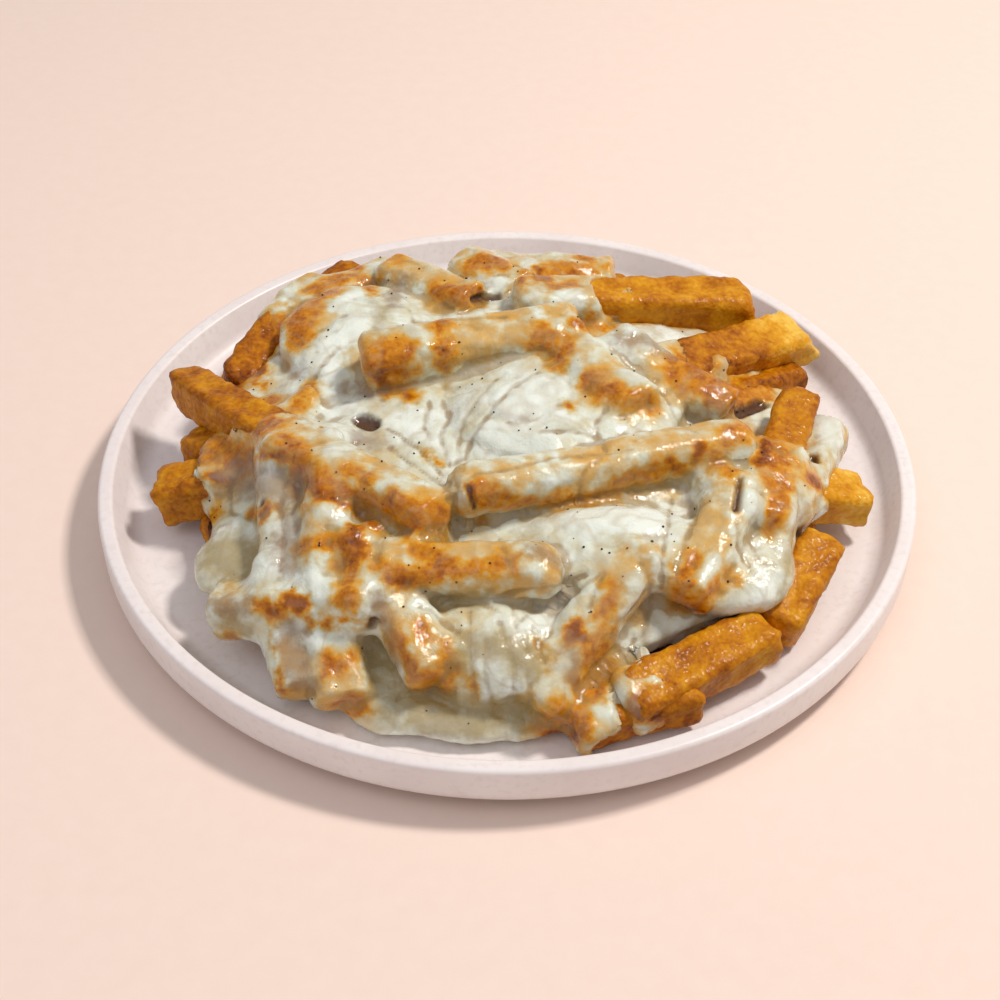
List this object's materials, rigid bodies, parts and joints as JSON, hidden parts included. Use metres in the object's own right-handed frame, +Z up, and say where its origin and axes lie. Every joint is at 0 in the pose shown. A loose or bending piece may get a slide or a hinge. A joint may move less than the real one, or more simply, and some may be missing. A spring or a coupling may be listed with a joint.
{
  "type": "plate of poutine",
  "caption": "Round stoneware plate with an upright rim, holding a heap of thick-cut fries under a sheet of melted cheese.",
  "frame": {"origin": "middle of the plate's foot, on the table", "axes": "+Z up, -Y towards the eater, +X to the eater's right"},
  "size_m": [0.25, 0.25, 0.0576],
  "materials": {
    "glazed_stoneware": "satin glazed stoneware, pinkish off-white",
    "fried_potato": "crisp fried potato, orange brown, oily",
    "melted_cheese": "glossy melted cheese, pale greenish white, streaked with gravy"
  },
  "bodies": {
    "root": {"plate": "glazed_stoneware", "fries": "fried_potato", "melted_cheese": "melted_cheese"}
  },
  "joints": []
}
